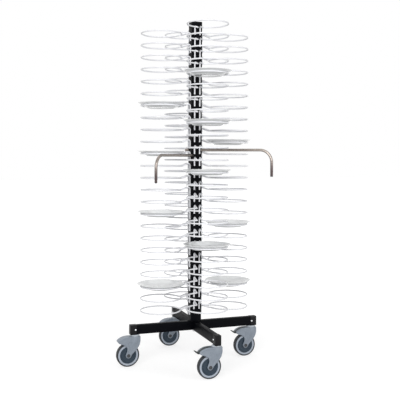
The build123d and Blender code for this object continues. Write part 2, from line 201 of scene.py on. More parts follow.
# ------------------------------------------------------------------ cross bolts and their nuts
# A zinc-plated bolt runs through each cap, beam and castor stem. Its low domed head shows as a
# bright dot on the cap, and a plain hexagon nut holds it on the far side.
bolt_head_radius = 5.2 * mm
bolt_head_height = 3.4 * mm
bolt_shank_radius = 3.0 * mm
bolt_length = 2 * cap_half_width
stem_reach = 342.0 * mm
beam_middle = (caps_low.z + caps_high.z) / 2
zinc = coated("zinc_plated_steel", (0.62, 0.63, 0.65, 1.0), (0.74, 0.75, 0.76, 1.0),
              roughness=(0.22, 0.36), grain_scale=1800.0, relief=0.02 * mm, cloud_scale=60.0,
              metallic=1.0)


def turned_outline(outline, steps, closed=False, rounding=0.0, segments=2):
    """A solid of revolution about +Z from an outline of (radius, height) points."""
    bm = bmesh.new()
    points = [bm.verts.new((radius, 0.0, height)) for radius, height in outline]
    for first, second in zip(points, points[1:]):
        bm.edges.new((first, second))
    if closed:
        bm.edges.new((points[-1], points[0]))
    corners = points if closed else points[1:-1]
    if rounding:
        soften(bm, corners, rounding, segments, affect="VERTICES")
    bmesh.ops.spin(bm, geom=bm.verts[:] + bm.edges[:], cent=(0, 0, 0), axis=(0, 0, 1),
                   dvec=(0, 0, 0), angle=math.tau, steps=steps, use_merge=True)
    bmesh.ops.remove_doubles(bm, verts=bm.verts, dist=0.001 * mm)
    return bm


def moved(bm, matrix):
    """Moves a whole bmesh and hands it back."""
    bmesh.ops.transform(bm, verts=bm.verts, matrix=matrix)
    return bm


def join(bm, other):
    """Adds another bmesh's shape to this one."""
    mesh = bpy.data.meshes.new("joined")
    other.to_mesh(mesh)
    other.free()
    bm.from_mesh(mesh)
    bpy.data.meshes.remove(mesh)


bolt_outline = [
    (0.0, bolt_head_height),
    (0.55 * bolt_head_radius, 0.88 * bolt_head_height),
    (0.9 * bolt_head_radius, 0.5 * bolt_head_height),
    (bolt_head_radius, 0.12 * bolt_head_height),
    (bolt_head_radius, 0.0),
    (bolt_shank_radius, 0.0),
    (bolt_shank_radius, -bolt_length),
    (0.0, -bolt_length),
]
# bolt heads face the front on the side beams and the left on the other two
bolt_places = (
    (-stem_reach, 0.0, math.pi / 2, "X"),
    (stem_reach, 0.0, math.pi / 2, "X"),
    (0.0, -stem_reach, -math.pi / 2, "Y"),
    (0.0, stem_reach, -math.pi / 2, "Y"),
)
bolts_mesh = bmesh.new()
for bolt_x, bolt_y, lean, lean_axis in bolt_places:
    in_beam = Matrix.Translation((post_x + bolt_x, bolt_y, beam_middle))
    lying = Matrix.Rotation(lean, 4, lean_axis) @ Matrix.Translation((0, 0, cap_half_width))
    join(bolts_mesh, moved(turned_outline(bolt_outline, steps=24), in_beam @ lying))
bolts = piece("beam_cross_bolts", bolts_mesh, zinc)
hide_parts("cross_bolts")
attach(bolts, "root")


def refinish(node_name, material):
    """Gives a CAD piece that stays in view its real finish."""
    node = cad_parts[node_name]
    if not node.material_slots:
        node.data.materials.append(material)
    for held in node.material_slots:
        held.material = material


for node_name in ("cross_bolt_nuts", "hub_bolt", "hub_washer", "post_foot_block", "castor_stems"):
    refinish(node_name, zinc)

# ------------------------------------------------------------------ post
# One length of 60 mm square steel tube with rounded corners, bolted down on the cross base and
# powder-coated like it, with a flat black plastic plug closing its top.
post_corner_radius = 4.0 * mm
post_mesh = bmesh.new()
post_edges = block(post_mesh, post_low, post_high)
soften(post_mesh, along(post_edges, 2), post_corner_radius, segments=5)
post = piece("square_post", post_mesh, powder_black)
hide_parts("post")
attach(post, "root")

plug_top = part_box("post_cap")[1].z
plug_edge_radius = 1.6 * mm
plug_mesh = bmesh.new()
plug_edges = block(plug_mesh, (post_low.x, post_low.y, post_high.z),
                   (post_high.x, post_high.y, plug_top))
soften(plug_mesh, along(plug_edges, 2), post_corner_radius, segments=5)
top_rim = [e for e in plug_mesh.edges if all(v.co.z > plug_top - 0.1 * mm for v in e.verts)]
soften(plug_mesh, top_rim, plug_edge_radius, segments=3)
plug = piece("post_top_plug", plug_mesh, cap_plastic)
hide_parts("post_cap")
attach(plug, "root")

# ------------------------------------------------------------------ bent-wire plate holders
# Each holder is one bent steel wire with a thick, smooth white coating, fixed by two legs that lie
# against the post. Two necks lead out and down from them to one hoop, which carries a plate.
wire_radius = 4.0 * mm
wire_facets = 12
hoop_radius = 110.0 * mm
hoop_middle = 198.0 * mm
leg_half_spacing = 15.0 * mm
leg_top = 16.0 * mm
leg_foot = 33.0 * mm
top_bend = 9.0 * mm
neck_bend = 22.0 * mm
hoop_bend = 9.0 * mm
level_run = 2.0 * mm
level_count = 24
level_pitch = 66.0 * mm
lowest_side_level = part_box("holders_right")[0].z + leg_foot
lowest_end_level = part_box("holders_front")[0].z + leg_foot
wire_white = coated("white_wire_coating", (0.84, 0.845, 0.875, 1.0), (0.80, 0.805, 0.835, 1.0),
                    roughness=(0.22, 0.34), grain_scale=700.0, relief=0.04 * mm, cloud_scale=9.0,
                    coat=0.25)


class BentWire:
    """A round wire that grows from its end by straight runs and bends."""

    def __init__(self, place, radius, facets):
        self.bm = bmesh.new()
        made = bmesh.ops.create_circle(self.bm, cap_ends=True, radius=radius, segments=facets,
                                       matrix=place)
        self.ring = list(dict.fromkeys(edge for vert in made["verts"] for edge in vert.link_edges))

    def run(self, way):
        """Draws the wire straight on by a vector."""
        grown = bmesh.ops.extrude_edge_only(self.bm, edges=self.ring)["geom"]
        verts = [part for part in grown if isinstance(part, bmesh.types.BMVert)]
        bmesh.ops.translate(self.bm, verts=verts, vec=way)
        self.ring = [
            part for part in grown
            if isinstance(part, bmesh.types.BMEdge) and all(v in verts for v in part.verts)
        ]

    def bend(self, centre, axis, angle, steps):
        """Bends the wire on round an axis through the bend's centre."""
        turned = bmesh.ops.spin(self.bm, geom=self.ring, cent=centre, axis=axis, dvec=(0, 0, 0),
                                angle=angle, steps=steps, use_merge=False)
        self.ring = [
            part for part in turned["geom_last"] if isinstance(part, bmesh.types.BMEdge)
        ]

    def close(self):
        """Closes the wire's far end."""
        bmesh.ops.contextual_create(self.bm, geom=self.ring)


def half_holder():
    """The wire from one foot to the hoop's far point, about the post's axis along +X."""
    leg_x = post_high.x - post_x + wire_radius
    bend_centre_y = -leg_half_spacing - hoop_bend
    outer = hoop_radius + hoop_bend
    bend_centre_x = hoop_middle - math.sqrt(outer**2 - bend_centre_y**2)
    join_angle = math.atan2(-bend_centre_y, hoop_middle - bend_centre_x)
    # the neck comes down to the hoop's plane a little before it turns into the hoop
    slope = math.atan2(leg_top, bend_centre_x - level_run - leg_x)
    neck_tangent = neck_bend * math.tan(slope / 2)
    top_turn = math.pi / 2 + slope
    top_tangent = top_bend * math.tan(top_turn / 2)
    neck_length = leg_top / math.sin(slope) - top_tangent - neck_tangent
    foot = Matrix.Translation((leg_x, -leg_half_spacing, -leg_foot))
    wire = BentWire(foot, wire_radius, wire_facets)
    wire.run((0, 0, leg_foot + leg_top - top_tangent))
    wire.bend((leg_x + top_bend, 0, leg_top - top_tangent), (0, 1, 0), top_turn, steps=7)
    wire.run((neck_length * math.cos(slope), 0, -neck_length * math.sin(slope)))
    neck_end_x = leg_x + leg_top / math.tan(slope) + neck_tangent
    wire.bend((neck_end_x, 0, neck_bend), (0, 1, 0), -slope, steps=3)
    wire.run((bend_centre_x - neck_end_x, 0, 0))
    wire.bend((bend_centre_x, bend_centre_y, 0), (0, 0, 1), join_angle - math.pi / 2, steps=5)
    wire.bend((hoop_middle, 0, 0), (0, 0, 1), math.pi - join_angle, steps=24)
    return wire.bm


def whole_holder():
    """Both halves of one holder, joined at the hoop's far point."""
    bm = half_holder()
    bmesh.ops.mirror(bm, geom=bm.verts[:] + bm.edges[:] + bm.faces[:], axis="Y",
                     merge_dist=0.01 * mm)
    bmesh.ops.recalc_face_normals(bm, faces=bm.faces)
    return bm


holder_mesh = bpy.data.meshes.new("one_holder")
one_holder = whole_holder()
one_holder.to_mesh(holder_mesh)
one_holder.free()
for side, turn in turns.items():
    lowest = lowest_side_level if side in ("left", "right") else lowest_end_level
    column_mesh = bmesh.new()
    for level in range(level_count):
        first_vert = len(column_mesh.verts)
        column_mesh.from_mesh(holder_mesh)
        column_mesh.verts.ensure_lookup_table()
        bmesh.ops.translate(column_mesh, verts=column_mesh.verts[first_vert:],
                            vec=(0, 0, lowest + level * level_pitch))
    column = piece("wire_holders_" + side, stand(column_mesh, turn), wire_white, crease=60.0)
    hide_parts("holders_" + side)
    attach(column, "root")
bpy.data.meshes.remove(holder_mesh)

# ------------------------------------------------------------------ plates
# Eleven white plates of glazed china, about 26 cm across, with a foot ring under a gently curved
# well. Each only rests in its hoop, on the slope of its underside.
plate_radius = 129.0 * mm
foot_radius = 80.0 * mm
foot_height = 2.6 * mm
china_thickness = 4.0 * mm
plate_slope = 0.49
plate_gap = 0.2 * mm
rim_radius = plate_radius - 3.0 * mm
# the upper face as (radius, rise above the well's middle), one even curve from rim to middle
well_curve = [
    (117.0, 18.9), (107.0, 14.4), (98.0, 10.6), (90.0, 7.2), (82.0, 4.6), (74.0, 2.6),
    (64.0, 1.2), (52.0, 0.45), (34.0, 0.1), (0.0, 0.0),
]
# the levels that hold a plate, counted from 0 at the bottom
held_levels = {"left": (2, 8, 13, 17), "front": (5, 11, 15, 19), "right": (2, 7, 14)}
china = coated("glazed_white_china", (0.80, 0.81, 0.81, 1.0), (0.76, 0.775, 0.78, 1.0),
               roughness=(0.07, 0.14), grain_scale=260.0, relief=0.03 * mm, cloud_scale=22.0, coat=0.6)


def plate_outline():
    """The plate's section, as (radius, height above the hoop's plane)."""
    lean = math.atan(plate_slope)
    touch_radius = hoop_radius - wire_radius * math.sin(lean)
    touch_height = wire_radius * math.cos(lean) + plate_gap
    base = touch_height - plate_slope * (touch_radius - foot_radius)
    rim = touch_height + plate_slope * (rim_radius - touch_radius)
    under = [
        (0.0, base),
        (foot_radius - 6.0 * mm, base),
        (foot_radius - 5.0 * mm, base - foot_height),
        (foot_radius - 1.0 * mm, base - foot_height),
        (foot_radius + 1.0 * mm, base + 0.6 * mm),
        (touch_radius, touch_height),
        (rim_radius, rim),
        (plate_radius, rim + 2.2 * mm),
        (plate_radius - 0.6 * mm, rim + 3.9 * mm),
    ]
    over = [(rim_radius, rim + 4.1 * mm)]
    over += [(radius * mm, base + china_thickness + rise * mm) for radius, rise in well_curve]
    return under + over


for side, levels in held_levels.items():
    lowest = lowest_end_level if side == "front" else lowest_side_level
    stack_mesh = bmesh.new()
    for level in levels:
        plate_mesh = turned_outline(plate_outline(), steps=72, rounding=1.2 * mm)
        moved(plate_mesh, Matrix.Translation((hoop_middle, 0, lowest + level * level_pitch)))
        join(stack_mesh, plate_mesh)
    plates = piece("china_plates_" + side, stand(stack_mesh, turns[side]), china, crease=50.0)
    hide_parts("plates_" + side)
    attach(plates, "root")

# ------------------------------------------------------------------ push handles
# Two satin stainless rods pass through the post's corners and are bent down to form the grips. A
# collar holds each behind the post, and a dark plastic button closes its lower end.
rod_radius = 7.5 * mm
rod_facets = 28
grip_steps = 8
rod_reach = 452.0 * mm
rod_bend = 66.0 * mm
rod_drop = 142.0 * mm
rod_tail = 60.0 * mm
button_length = 5.0 * mm
collar_radius = 11.0 * mm
collar_length = 10.0 * mm
collar_start = 40.6 * mm
# each rod's turn about the post, in degrees, and its height
rod_places = {"right": (-45.0, 1172.0 * mm), "left": (-135.0, 1142.0 * mm)}
stainless = coated("satin_stainless", (0.29, 0.255, 0.23, 1.0), (0.37, 0.33, 0.30, 1.0),
                   roughness=(0.24, 0.36), grain_scale=1400.0, relief=0.02 * mm, cloud_scale=40.0,
                   metallic=1.0)
# the colour of the painted shade down the grips, a painted darker reflection where the rods turn down
painted_grip_shade_color = (0.075, 0.058, 0.058, 1.0)


def paint_grip_shade(material):
    """Paints shade down the grip: the finish goes darker there as a painted darker reflection, by a
    value of each rod from 0 to 1.
    """
    nodes, links = material.node_tree.nodes, material.node_tree.links
    color = nodes["Principled BSDF"].inputs["Base Color"]
    drop = nodes.new("ShaderNodeAttribute")
    drop.attribute_name = "painted_grip_shade"
    grip = nodes.new("ShaderNodeMix")
    grip.data_type = "RGBA"
    grip.inputs["B"].default_value = painted_grip_shade_color
    links.new(drop.outputs["Fac"], grip.inputs["Factor"])
    links.new(color.links[0].from_socket, grip.inputs["A"])
    links.new(grip.outputs["Result"], color)


# the grips are given painted shade, darker down their length
paint_grip_shade(stainless)
dark_plastic = coated("dark_button_plastic", (0.035, 0.038, 0.042, 1.0), (0.05, 0.052, 0.056, 1.0),
                      roughness=(0.42, 0.55), grain_scale=1500.0, relief=0.04 * mm)
button_outline = [
    (0.0, 0.0),
    (rod_radius - 1.2 * mm, 0.0),
    (rod_radius, 1.2 * mm),
    (rod_radius, button_length),
    (0.0, button_length),
]
collar_outline = [
    (rod_radius, collar_start),
    (collar_radius, collar_start),
    (collar_radius, collar_start + collar_length),
    (rod_radius, collar_start + collar_length),
]
buttons_mesh = bmesh.new()
collars_mesh = bmesh.new()
for side, (turn, height) in rod_places.items():
    rod = BentWire(Matrix.Translation((-rod_tail, 0, 0)) @ Matrix.Rotation(math.pi / 2, 4, "Y"),
                   rod_radius, rod_facets)
    rod.run((rod_tail + rod_reach - rod_bend, 0, 0))
    rod.bend((rod_reach - rod_bend, 0, -rod_bend), (0, 1, 0), math.pi / 2, steps=16)
    for _ in range(grip_steps):
        rod.run((0, 0, (rod_bend + button_length - rod_drop) / grip_steps))
    rod.close()
    # how much painted shade, a painted darker reflection, each point gets: 0 along the straight run,
    # rising to 1 three quarters of the way down the grip
    painted_grip_shade = rod.bm.verts.layers.float.new("painted_grip_shade")
    for vert in rod.bm.verts:
        fall = min(1.0, max(0.0, -vert.co.z - rod_radius) / (0.75 * rod_drop))
        vert[painted_grip_shade] = fall * fall * (3.0 - 2.0 * fall)
    handle = piece("push_handle_" + side, stand(rod.bm, turn, height), stainless, crease=60.0)
    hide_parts("handle_" + side)
    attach(handle, "root")
    grip_end = Matrix.Translation((rod_reach, 0, -rod_drop))
    button = moved(turned_outline(button_outline, rod_facets), grip_end)
    join(buttons_mesh, stand(button, turn, height))
    collar = turned_outline(collar_outline, rod_facets, closed=True, rounding=0.9 * mm)
    join(collars_mesh, stand(moved(collar, Matrix.Rotation(-math.pi / 2, 4, "Y")), turn, height))
buttons = piece("handle_end_buttons", buttons_mesh, dark_plastic)
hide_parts("handle_tips")
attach(buttons, "root")
collars = piece("handle_collar_rings", collars_mesh, stainless)
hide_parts("handle_collars")
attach(collars, "root")

# ------------------------------------------------------------------ castor swivel heads
# A round moulded head closes the top of each castor under its beam, with a groove where the fork
# turns against it. It is pressed on the castor's stem, so it stays with the beam.
heads_low, heads_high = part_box("swivel_heads")
head_radius = 26.0 * mm
castor_spots = {
    side: Vector((
        post_x + stem_reach * round(math.cos(math.radians(turn))),
        stem_reach * round(math.sin(math.radians(turn))),
        0.0,
    ))
    for side, turn in turns.items()
}
head_grey = coated("castor_head_grey", (0.44, 0.48, 0.53, 1.0), (0.50, 0.54, 0.58, 1.0),
                   roughness=(0.26, 0.40), grain_scale=1300.0, relief=0.05 * mm, cloud_scale=18.0)
head_outline = [
    (0.0, heads_high.z),
    (head_radius - 4.5 * mm, heads_high.z),
    (head_radius - 1.0 * mm, heads_high.z - 2.4 * mm),
    (head_radius, heads_high.z - 4.4 * mm),
    (head_radius, heads_low.z + 1.6 * mm),
    (head_radius - 2.4 * mm, heads_low.z + 1.2 * mm),
    (head_radius - 2.4 * mm, heads_low.z),
    (0.0, heads_low.z),
]
heads_mesh = bmesh.new()
for spot in castor_spots.values():
    join(heads_mesh, moved(turned_outline(head_outline, steps=48, rounding=0.6 * mm),
                           Matrix.Translation(spot)))
heads = piece("castor_swivel_heads", heads_mesh, head_grey)
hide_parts("swivel_heads")
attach(heads, "root")

# ------------------------------------------------------------------ castor forks
# Each fork is one glass-filled nylon moulding that turns on the castor's stem: a round crown, a
# hood over the wheel, slotted where it has a brake, and two cheeks that narrow to the axle, each
# with a raised border and four moulded flutes.
trail = 40.0 * mm
wheel_radius = 62.5 * mm
fork_half_width = 24.0 * mm
cavity_half_width = 18.0 * mm
cavity_radius = 66.4 * mm
swivel_gap = 0.3 * mm
fork_top = heads_low.z - swivel_gap
cheek_turn_radius = 3.4 * mm
cheek_border = 2.4 * mm
cheek_recess = 1.2 * mm
recess_slope = 0.7 * mm
slot_half_width = 9.8 * mm
slot_low = Vector((-120.0 * mm, -slot_half_width, 110.0 * mm))
slot_high = Vector((-31.0 * mm, slot_half_width, fork_top + 20.0 * mm))
flute_width = 2.6 * mm
flute_depth = 2.4 * mm
flute_cutter_flare = 1.6
flute_cutter_height = 4.0 * mm
castor_grey = coated("castor_grey_nylon", (0.205, 0.240, 0.285, 1.0), (0.275, 0.310, 0.360, 1.0),
                     roughness=(0.36, 0.50), grain_scale=1300.0, relief=0.06 * mm, cloud_scale=18.0)
# the rounding of the cheeks' long edges, as steps of (width, fall)
cheek_rounding = ((0.9 * mm, 1.5 * mm), (1.5 * mm, 0.6 * mm))
# flutes moulded in each cheek, as (x from the stem's axis, height): one along the hood, three down
flute_lines = [
    [(-86.0, 141.0), (-69.0, 149.0), (-48.0, 153.5), (-30.0, 153.5), (-14.0, 150.0)],
    [(-50.0, 143.0), (-40.0, 128.0), (-37.0, 108.0), (-38.5, 90.0), (-42.0, 78.0)],
    [(-38.0, 144.0), (-29.5, 127.0), (-27.0, 108.0), (-30.5, 90.0), (-36.5, 77.0)],
    [(-26.0, 143.0), (-19.0, 126.0), (-17.5, 110.0), (-22.0, 93.0), (-30.0, 77.0)],
]
# the crown's section as (radius, height over the fork's top)
crown_points = [
    (0.0, 0.0), (25.4, 0.0), (26.4, -1.2), (26.4, -22.0), (25.2, -34.0), (22.0, -42.0), (0.0, -42.0),
]
# the cheek's outline as (x from the stem's axis, height), from the crown's front round the axle,
# drawn with the fork's top at this height
drawn_top = 162.0 * mm
cheek_points = [
    (26.0, 162.0), (26.0, 136.0), (20.0, 114.0), (8.0, 97.0), (-6.0, 82.0), (-20.0, 68.0),
    (-25.5, 58.0), (-31.0, 50.0), (-40.0, 47.2), (-49.0, 50.0), (-54.6, 58.0), (-54.0, 69.0),
    (-47.0, 84.0), (-45.5, 98.0), (-51.0, 111.0), (-64.0, 119.5), (-80.0, 125.0), (-93.0, 130.5),
    (-97.5, 137.5), (-93.0, 144.0), (-80.0, 153.0), (-63.0, 159.5), (-44.0, 161.8), (-26.0, 162.0),
]


def cheek_faces(bm):
    """The two flat side faces, the only ones with more than eight corners."""
    return [face for face in bm.faces if len(face.verts) > 8]


def cheek_solid():
    """A block of the fork's side outline, with rounded long edges and a border on each side."""
    bm = bmesh.new()
    near = []
    for x, z in cheek_points:
        near.append(bm.verts.new((x * mm, -fork_half_width, z * mm + fork_top - drawn_top)))
    bm.faces.new(near)
    # rounds the outline's turns apart from the two square ends of its flat top
    turned_corners = [v for v in near if v.co.z < fork_top - 0.1 * mm]
    soften(bm, turned_corners, cheek_turn_radius, segments=3, affect="VERTICES")
    grown = bmesh.ops.extrude_face_region(bm, geom=bm.faces[:])["geom"]
    far = [part for part in grown if isinstance(part, bmesh.types.BMVert)]
    bmesh.ops.translate(bm, verts=far, vec=(0, 2 * fork_half_width, 0))
    bmesh.ops.recalc_face_normals(bm, faces=bm.faces)
    for width, fall in cheek_rounding:
        bmesh.ops.inset_region(bm, faces=cheek_faces(bm), thickness=width, depth=0.0,
                               use_even_offset=True)
        flat = {vert for face in cheek_faces(bm) for vert in face.verts}
        for vert in set(bm.verts) - flat:
            vert.co.y -= math.copysign(fall, vert.co.y)
    bmesh.ops.inset_region(bm, faces=cheek_faces(bm), thickness=cheek_border, depth=0.0,
                           use_even_offset=True)
    bmesh.ops.inset_region(bm, faces=cheek_faces(bm), thickness=recess_slope, depth=-cheek_recess,
                           use_even_offset=True)
    return bm


def combined(bm, name, added, removed):
    """Joins shapes to a solid, cuts others out of it and returns the result as a bmesh."""
    held = bpy.data.objects.new(name, bpy.data.meshes.new(name))
    bpy.context.scene.collection.objects.link(held)
    bmesh.ops.recalc_face_normals(bm, faces=bm.faces)
    bm.to_mesh(held.data)
    bm.free()
    tools = []
    for number, other in enumerate(added + removed):
        tool = bpy.data.objects.new(f"{name}_tool_{number}", bpy.data.meshes.new("tool"))
        bpy.context.scene.collection.objects.link(tool)
        bmesh.ops.recalc_face_normals(other, faces=other.faces)
        other.to_mesh(tool.data)
        other.free()
        modifier = held.modifiers.new(f"step_{number}", "BOOLEAN")
        modifier.operation = "UNION" if number < len(added) else "DIFFERENCE"
        modifier.solver = "EXACT"
        modifier.object = tool
        tools.append(tool)
    bpy.context.view_layer.update()
    result = bmesh.new()
    solid = held.evaluated_get(bpy.context.evaluated_depsgraph_get())
    result.from_mesh(solid.to_mesh())
    solid.to_mesh_clear()
    for thing in tools + [held]:
        mesh = thing.data
        bpy.data.objects.remove(thing)
        bpy.data.meshes.remove(mesh)
    return result


def on_axle(bm):
    """Turns a shape made about +Z onto the wheel's axle."""
    lying = Matrix.Rotation(math.pi / 2, 4, "X")
    return moved(bm, Matrix.Translation((-trail, 0, wheel_radius)) @ lying)


def wheel_hollow():
    """The space round the wheel between the cheeks."""
    outline = [
        (0.0, -cavity_half_width),
        (cavity_radius, -cavity_half_width),
        (cavity_radius, cavity_half_width),
        (0.0, cavity_half_width),
    ]
    return on_axle(turned_outline(outline, steps=64, rounding=2.0 * mm))


def hood_slot():
    """The opening along the top of a braked hood, where the pedal lies."""
    bm = bmesh.new()
    block(bm, slot_low, slot_high)
    return bm


def crown():
    """The round crown under the swivel head, which stands a little proud of both cheeks."""
    outline = [(radius * mm, fork_top + height * mm) for radius, height in crown_points]
    return turned_outline(outline, steps=48, rounding=1.0 * mm)


def flute(points, side):
    """A shallow groove along a line of (x, height) points on one cheek, for cutting."""
    marks = [Vector((x * mm, z * mm)) for x, z in points]
    line = [marks[0]]
    for number, (start, stop) in enumerate(zip(marks, marks[1:])):
        before, after = marks[max(number - 1, 0)], marks[min(number + 2, len(marks) - 1)]
        # a smooth curve through the marks, each stretch by the slope of its neighbours
        leave = start + (stop - before) / 6
        arrive = stop - (after - start) / 6
        line += interpolate_bezier(start, leave, arrive, stop, 5)[1:]
    floor_y = side * (fork_half_width - flute_depth)
    cheek_y = side * fork_half_width
    outer_y = side * (fork_half_width + flute_cutter_height)
    bm = bmesh.new()
    last_ring = []
    for number, point in enumerate(line):
        run = line[min(number + 1, len(line) - 1)] - line[max(number - 1, 0)]
        across = Vector((-run.y, run.x)).normalized() * flute_width / 2
        section = [
            (point - across, cheek_y),
            (point, floor_y),
            (point + across, cheek_y),
            (point + across * flute_cutter_flare, outer_y),
            (point - across * flute_cutter_flare, outer_y),
        ]
        corners = [bm.verts.new((place.x, y, place.y)) for place, y in section]
        ring = [bm.edges.new(ends) for ends in zip(corners, corners[1:] + corners[:1])]
        if last_ring:
            bmesh.ops.bridge_loops(bm, edges=last_ring + ring)
        last_ring = ring
    bmesh.ops.holes_fill(bm, edges=bm.edges, sides=5)
    return bm


def fork_shape(braked):
    """One whole fork about its stem's axis."""
    removed = [wheel_hollow()] + ([hood_slot()] if braked else [])
    removed += [flute(points, side) for points in flute_lines for side in (-1.0, 1.0)]
    return combined(cheek_solid(), "fork_solid", [crown()], removed)


braked_sides = ("front", "right")
for side, spot in castor_spots.items():
    fork_mesh = moved(fork_shape(side in braked_sides), Matrix.Translation(spot))
    fork = piece("castor_fork_" + side, fork_mesh, castor_grey, crease=40.0)
    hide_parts("fork_" + side)
    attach(fork, "fork_" + side)

# ------------------------------------------------------------------ axles and their caps
# A plain steel pin runs through cheeks and hub, and a dark plastic cap snaps over each end of it,
# dished in the middle.
axle_cap_radius = 9.2 * mm
axle_cap_height = 3.0 * mm
axle_cap_dish = 1.0 * mm
axle_cap_outline = [
    (0.0, axle_cap_height - axle_cap_dish),
    (axle_cap_radius - 3.4 * mm, axle_cap_height - axle_cap_dish),
    (axle_cap_radius - 2.6 * mm, axle_cap_height),
    (axle_cap_radius - 0.9 * mm, axle_cap_height),
    (axle_cap_radius, axle_cap_height - 1.1 * mm),
    (axle_cap_radius, 0.0),
    (0.0, 0.0),
]
for side, spot in castor_spots.items():
    pair_mesh = bmesh.new()
    for facing in (0.0, math.pi):
        outward = Matrix.Rotation(facing, 4, "X") @ Matrix.Translation((0, 0, fork_half_width))
        join(pair_mesh, moved(turned_outline(axle_cap_outline, steps=28), outward))
    axle_caps = piece("axle_end_caps_" + side, moved(on_axle(pair_mesh), Matrix.Translation(spot)),
                      dark_plastic)
    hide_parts("axle_caps_" + side)
    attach(axle_caps, "fork_" + side)
    refinish("axle_pin_" + side, zinc)

# ------------------------------------------------------------------ wheels
# A light grey moulded centre carries a dark grey thermoplastic tyre with a slightly crowned
# tread, and turns on the axle. A slate-blue disc, stepped and grooved, covers it on each side.
tread_half_width = 16.0 * mm
tyre_inner = 55.0 * mm
core_half_width = 12.5 * mm
core_lip = 1.2 * mm
disc_radius = 45.5 * mm
disc_thickness = 2.4 * mm
bore_radius = 4.1 * mm
hub_radius = 14.0 * mm
hub_half_length = 17.6 * mm
rubber = coated("grey_tyre", (0.020, 0.024, 0.028, 1.0), (0.040, 0.044, 0.050, 1.0),
                roughness=(0.50, 0.70), grain_scale=900.0, relief=0.10 * mm, cloud_scale=30.0,
                specular=0.35)
core_grey = coated("light_grey_centre", (0.37, 0.415, 0.485, 1.0), (0.42, 0.465, 0.53, 1.0),
                   roughness=(0.34, 0.48), grain_scale=1300.0, relief=0.05 * mm, cloud_scale=25.0)
slate = coated("slate_wheel_disc", (0.014, 0.028, 0.046, 1.0), (0.034, 0.055, 0.078, 1.0),
               roughness=(0.30, 0.44), grain_scale=1300.0, relief=0.05 * mm, cloud_scale=25.0,
               specular=0.4)
tyre_outline = [
    (tyre_inner, -core_half_width - 0.4 * mm),
    (tyre_inner + 2.6 * mm, -tread_half_width + 0.8 * mm),
    (wheel_radius - 3.2 * mm, -tread_half_width),
    (wheel_radius - 0.7 * mm, -tread_half_width + 3.6 * mm),
    (wheel_radius, -tread_half_width + 9.0 * mm),
    (wheel_radius, tread_half_width - 9.0 * mm),
    (wheel_radius - 0.7 * mm, tread_half_width - 3.6 * mm),
    (wheel_radius - 3.2 * mm, tread_half_width),
    (tyre_inner + 2.6 * mm, tread_half_width - 0.8 * mm),
    (tyre_inner, core_half_width + 0.4 * mm),
]
core_outline = [
    (bore_radius, -hub_half_length),
    (hub_radius - 1.0 * mm, -hub_half_length),
    (hub_radius, -hub_half_length + 1.0 * mm),
    (hub_radius, -core_half_width + 1.5 * mm),
    (disc_radius - 1.0 * mm, -core_half_width + 1.5 * mm),
    (disc_radius, -core_half_width - core_lip),
    (tyre_inner - core_lip, -core_half_width - core_lip),
    (tyre_inner, -core_half_width),
]
core_outline += [(radius, -height) for radius, height in reversed(core_outline)]
disc_face = core_half_width + core_lip
disc_back = disc_face - disc_thickness
disc_outline = [
    (hub_radius, disc_back),
    (hub_radius, disc_face + 1.0 * mm),
    (hub_radius + 5.0 * mm, disc_face + 1.0 * mm),
    (hub_radius + 6.5 * mm, disc_face - 1.4 * mm),
    (disc_radius - 15.0 * mm, disc_face - 1.4 * mm),
    (disc_radius - 13.6 * mm, disc_face + 0.2 * mm),
    (disc_radius - 9.4 * mm, disc_face + 0.2 * mm),
    (disc_radius - 8.4 * mm, disc_face - 1.2 * mm),
    (disc_radius - 7.4 * mm, disc_face + 0.2 * mm),
    (disc_radius - 3.5 * mm, disc_face + 0.2 * mm),
    (disc_radius - 2.4 * mm, disc_face - 1.4 * mm),
    (disc_radius - 0.2 * mm, disc_face - 1.4 * mm),
    (disc_radius - 0.2 * mm, disc_back),
]
for side, spot in castor_spots.items():
    at_spot = Matrix.Translation(spot)
    tyre_mesh = on_axle(turned_outline(tyre_outline, steps=80, closed=True, rounding=0.7 * mm))
    tyre = piece("wheel_tyre_" + side, moved(tyre_mesh, at_spot), rubber)
    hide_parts("tyre_" + side)
    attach(tyre, "wheel_" + side)
    core_mesh = on_axle(turned_outline(core_outline, steps=72, closed=True))
    core = piece("wheel_centre_" + side, moved(core_mesh, at_spot), core_grey)
    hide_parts("wheel_core_" + side)
    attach(core, "wheel_" + side)
    covers_mesh = bmesh.new()
    for facing in (0.0, math.pi):
        cover = turned_outline(disc_outline, steps=64, closed=True)
        join(covers_mesh, moved(cover, Matrix.Rotation(facing, 4, "X")))
    covers = piece("wheel_cover_discs_" + side, moved(on_axle(covers_mesh), at_spot), slate)
    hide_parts("wheel_discs_" + side)
    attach(covers, "wheel_" + side)

# ------------------------------------------------------------------ brake pedals
# The front and right castors have a foot brake: a dark grey moulded lever that lies in the slot of
# the hood, sticks out past its nose as a thin, wider tongue and presses a shoe on the tyre.
pedal_half_width = 8.8 * mm
tongue_half_width = 14.0 * mm
tongue_start = -99.0 * mm
tongue_flare = 8.0 * mm
pedal_grey = coated("brake_pedal_grey", (0.030, 0.038, 0.038, 1.0), (0.050, 0.058, 0.058, 1.0),
                    roughness=(0.40, 0.54), grain_scale=1300.0, relief=0.06 * mm, cloud_scale=20.0,
                    specular=0.35)
# the lever's side outline as (x from the stem's axis, height)
pedal_points = [
    (-33.0, 160.0), (-33.0, 150.0), (-44.0, 148.5), (-44.0, 138.0), (-56.0, 137.0), (-56.0, 149.0),
    (-76.0, 143.5), (-88.0, 133.0), (-98.0, 130.6), (-105.0, 133.0), (-113.0, 138.6),
    (-119.4, 144.0), (-119.0, 148.0), (-112.0, 146.2), (-103.0, 141.8), (-98.0, 140.0),
    (-92.0, 144.6), (-80.0, 153.4), (-63.0, 160.0), (-44.0, 162.4),
]


